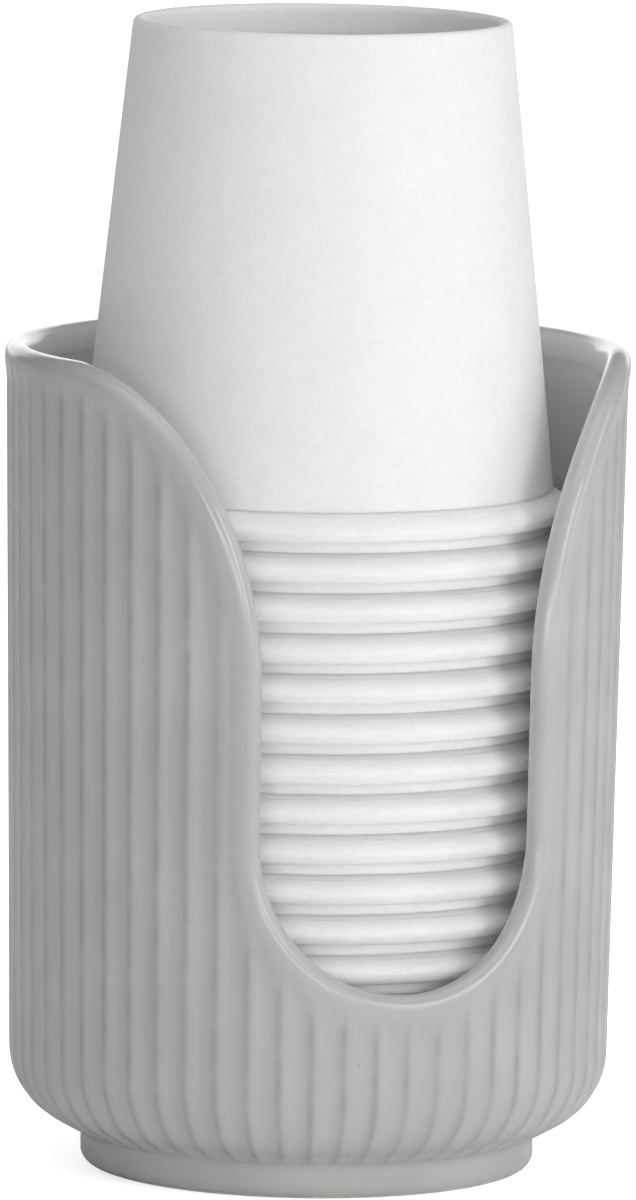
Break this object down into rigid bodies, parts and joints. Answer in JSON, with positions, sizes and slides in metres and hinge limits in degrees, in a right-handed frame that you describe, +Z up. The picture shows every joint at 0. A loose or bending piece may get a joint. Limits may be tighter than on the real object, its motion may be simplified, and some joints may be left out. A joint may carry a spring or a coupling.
{
  "type": "cup dispenser",
  "caption": "Round fluted ceramic countertop holder with an arched front notch, dispensing inverted nested paper cups that are lifted off the top one at a time.",
  "frame": {"origin": "centre of the foot ring's flat underside, on the axis that the holder and the cups share", "axes": "+Z up along the stack of cups, -Y out through the notch in the front of the holder, +X to the right of someone facing the notch"},
  "size_m": [0.0702, 0.0691, 0.1292],
  "materials": {
    "glaze": "gloss glaze",
    "cup_paper": "matte"
  },
  "bodies": {
    "holder": {"holder": "glaze"},
    "cup_01": {"cup_01_wall": "cup_paper", "cup_01_base": "cup_paper"},
    "cup_02": {"cup_02_wall": "cup_paper", "cup_02_base": "cup_paper"},
    "cup_03": {"cup_03_wall": "cup_paper", "cup_03_base": "cup_paper"},
    "cup_04": {"cup_04_wall": "cup_paper", "cup_04_base": "cup_paper"},
    "cup_05": {"cup_05_wall": "cup_paper", "cup_05_base": "cup_paper"},
    "cup_06": {"cup_06_wall": "cup_paper", "cup_06_base": "cup_paper"},
    "cup_07": {"cup_07_wall": "cup_paper", "cup_07_base": "cup_paper"},
    "cup_08": {"cup_08_wall": "cup_paper", "cup_08_base": "cup_paper"},
    "cup_09": {"cup_09_wall": "cup_paper", "cup_09_base": "cup_paper"},
    "cup_10": {"cup_10_wall": "cup_paper", "cup_10_base": "cup_paper"},
    "cup_11": {"cup_11_wall": "cup_paper", "cup_11_base": "cup_paper"},
    "cup_12": {"cup_12_wall": "cup_paper", "cup_12_base": "cup_paper"},
    "cup_13": {"cup_13_wall": "cup_paper", "cup_13_base": "cup_paper"},
    "cup_14": {"cup_14_wall": "cup_paper", "cup_14_base": "cup_paper"},
    "cup_15": {"cup_15_wall": "cup_paper", "cup_15_base": "cup_paper"}
  },
  "joints": [
    {"name": "cup_01_lift", "type": "slide", "parent": "holder", "child": "cup_01", "axis": [0, 0, 1], "range_m": [0, 0.087]},
    {"name": "cup_02_lift", "type": "slide", "parent": "cup_01", "child": "cup_02", "axis": [0, 0, 1], "range_m": [0, 0.0825]},
    {"name": "cup_03_lift", "type": "slide", "parent": "cup_02", "child": "cup_03", "axis": [0, 0, 1], "range_m": [0, 0.078]},
    {"name": "cup_04_lift", "type": "slide", "parent": "cup_03", "child": "cup_04", "axis": [0, 0, 1], "range_m": [0, 0.0735]},
    {"name": "cup_05_lift", "type": "slide", "parent": "cup_04", "child": "cup_05", "axis": [0, 0, 1], "range_m": [0, 0.069]},
    {"name": "cup_06_lift", "type": "slide", "parent": "cup_05", "child": "cup_06", "axis": [0, 0, 1], "range_m": [0, 0.0645]},
    {"name": "cup_07_lift", "type": "slide", "parent": "cup_06", "child": "cup_07", "axis": [0, 0, 1], "range_m": [0, 0.06]},
    {"name": "cup_08_lift", "type": "slide", "parent": "cup_07", "child": "cup_08", "axis": [0, 0, 1], "range_m": [0, 0.056]},
    {"name": "cup_09_lift", "type": "slide", "parent": "cup_08", "child": "cup_09", "axis": [0, 0, 1], "range_m": [0, 0.056]},
    {"name": "cup_10_lift", "type": "slide", "parent": "cup_09", "child": "cup_10", "axis": [0, 0, 1], "range_m": [0, 0.056]},
    {"name": "cup_11_lift", "type": "slide", "parent": "cup_10", "child": "cup_11", "axis": [0, 0, 1], "range_m": [0, 0.056]},
    {"name": "cup_12_lift", "type": "slide", "parent": "cup_11", "child": "cup_12", "axis": [0, 0, 1], "range_m": [0, 0.056]},
    {"name": "cup_13_lift", "type": "slide", "parent": "cup_12", "child": "cup_13", "axis": [0, 0, 1], "range_m": [0, 0.056]},
    {"name": "cup_14_lift", "type": "slide", "parent": "cup_13", "child": "cup_14", "axis": [0, 0, 1], "range_m": [0, 0.056]},
    {"name": "cup_15_lift", "type": "slide", "parent": "cup_14", "child": "cup_15", "axis": [0, 0, 1], "range_m": [0, 0.056]}
  ]
}
